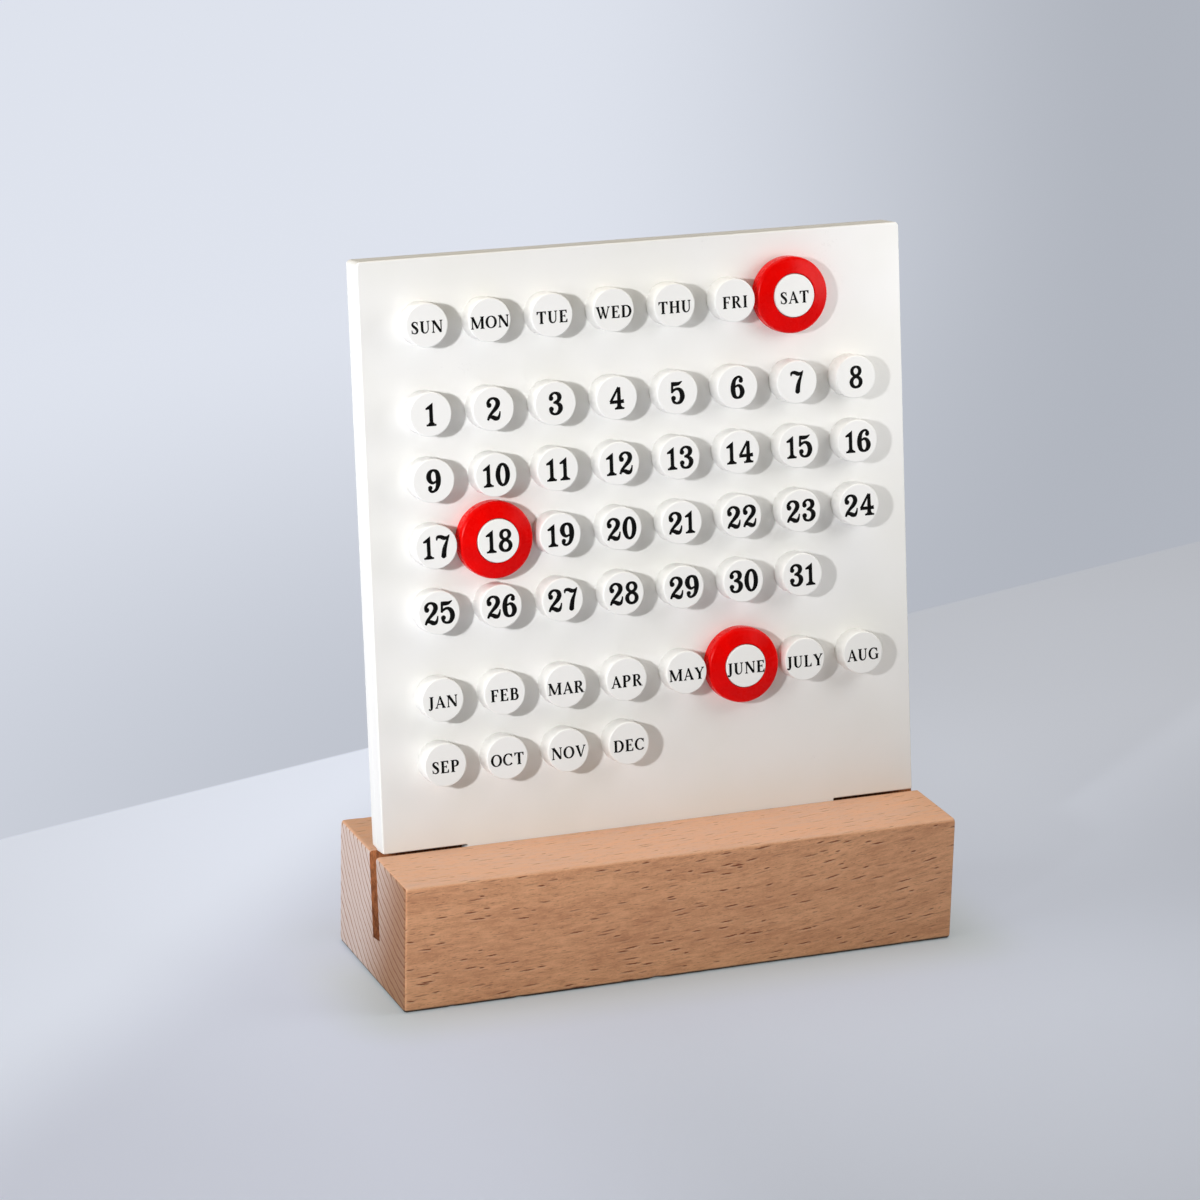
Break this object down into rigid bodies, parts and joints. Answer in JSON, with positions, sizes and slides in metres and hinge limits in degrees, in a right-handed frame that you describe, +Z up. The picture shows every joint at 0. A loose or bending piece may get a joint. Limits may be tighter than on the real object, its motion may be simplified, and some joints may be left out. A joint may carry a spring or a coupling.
{
  "type": "perpetual desk calendar",
  "caption": "Desk calendar: a white panel of short pegs leans in a slotted beech block, and loose red rings slip over a peg each to mark day, date and month.",
  "frame": {"origin": "the middle of the block's underside, on the desk", "axes": "+X to the reader's right along the block, +Y to the back, away from the reader, +Z up; the panel leans back from +Z towards +Y"},
  "size_m": [0.15, 0.0529, 0.1802],
  "materials": {
    "beech": "sanded, oiled beech with open pores",
    "panel_white": "satin white acrylic sheet with polished edges",
    "peg_white": "white plastic with black printed faces",
    "ring_red": "glossy red plastic"
  },
  "bodies": {
    "base": {"wood_base": "beech"},
    "panel": {"front_panel": "panel_white", "back_panel": "panel_white", "peg_sun": "peg_white", "peg_mon": "peg_white", "peg_tue": "peg_white", "peg_wed": "peg_white", "peg_thu": "peg_white", "peg_fri": "peg_white", "peg_sat": "peg_white", "peg_01": "peg_white", "peg_02": "peg_white", "peg_03": "peg_white", "peg_04": "peg_white", "peg_05": "peg_white", "peg_06": "peg_white", "peg_07": "peg_white", "peg_08": "peg_white", "peg_09": "peg_white", "peg_10": "peg_white", "peg_11": "peg_white", "peg_12": "peg_white", "peg_13": "peg_white", "peg_14": "peg_white", "peg_15": "peg_white", "peg_16": "peg_white", "peg_17": "peg_white", "peg_18": "peg_white", "peg_19": "peg_white", "peg_20": "peg_white", "peg_21": "peg_white", "peg_22": "peg_white", "peg_23": "peg_white", "peg_24": "peg_white", "peg_25": "peg_white", "peg_26": "peg_white", "peg_27": "peg_white", "peg_28": "peg_white", "peg_29": "peg_white", "peg_30": "peg_white", "peg_31": "peg_white", "peg_jan": "peg_white", "peg_feb": "peg_white", "peg_mar": "peg_white", "peg_apr": "peg_white", "peg_may": "peg_white", "peg_jun": "peg_white", "peg_jul": "peg_white", "peg_aug": "peg_white", "peg_sep": "peg_white", "peg_oct": "peg_white", "peg_nov": "peg_white", "peg_dec": "peg_white"},
    "day_marker": {"ring_day": "ring_red"},
    "date_marker": {"ring_date": "ring_red"},
    "month_marker": {"ring_month": "ring_red"}
  },
  "joints": [
    {"name": "panel_lift", "type": "slide", "parent": "base", "child": "panel", "axis": [0, 0.1521, 0.9884], "range_m": [0, 0.025]},
    {"name": "day_ring_slide", "type": "slide", "parent": "panel", "child": "day_marker", "axis": [0, -0.9884, 0.1521], "range_m": [0, 0.0065]},
    {"name": "date_ring_slide", "type": "slide", "parent": "panel", "child": "date_marker", "axis": [0, -0.9884, 0.1521], "range_m": [0, 0.0065]},
    {"name": "month_ring_slide", "type": "slide", "parent": "panel", "child": "month_marker", "axis": [0, -0.9884, 0.1521], "range_m": [0, 0.0065]}
  ]
}
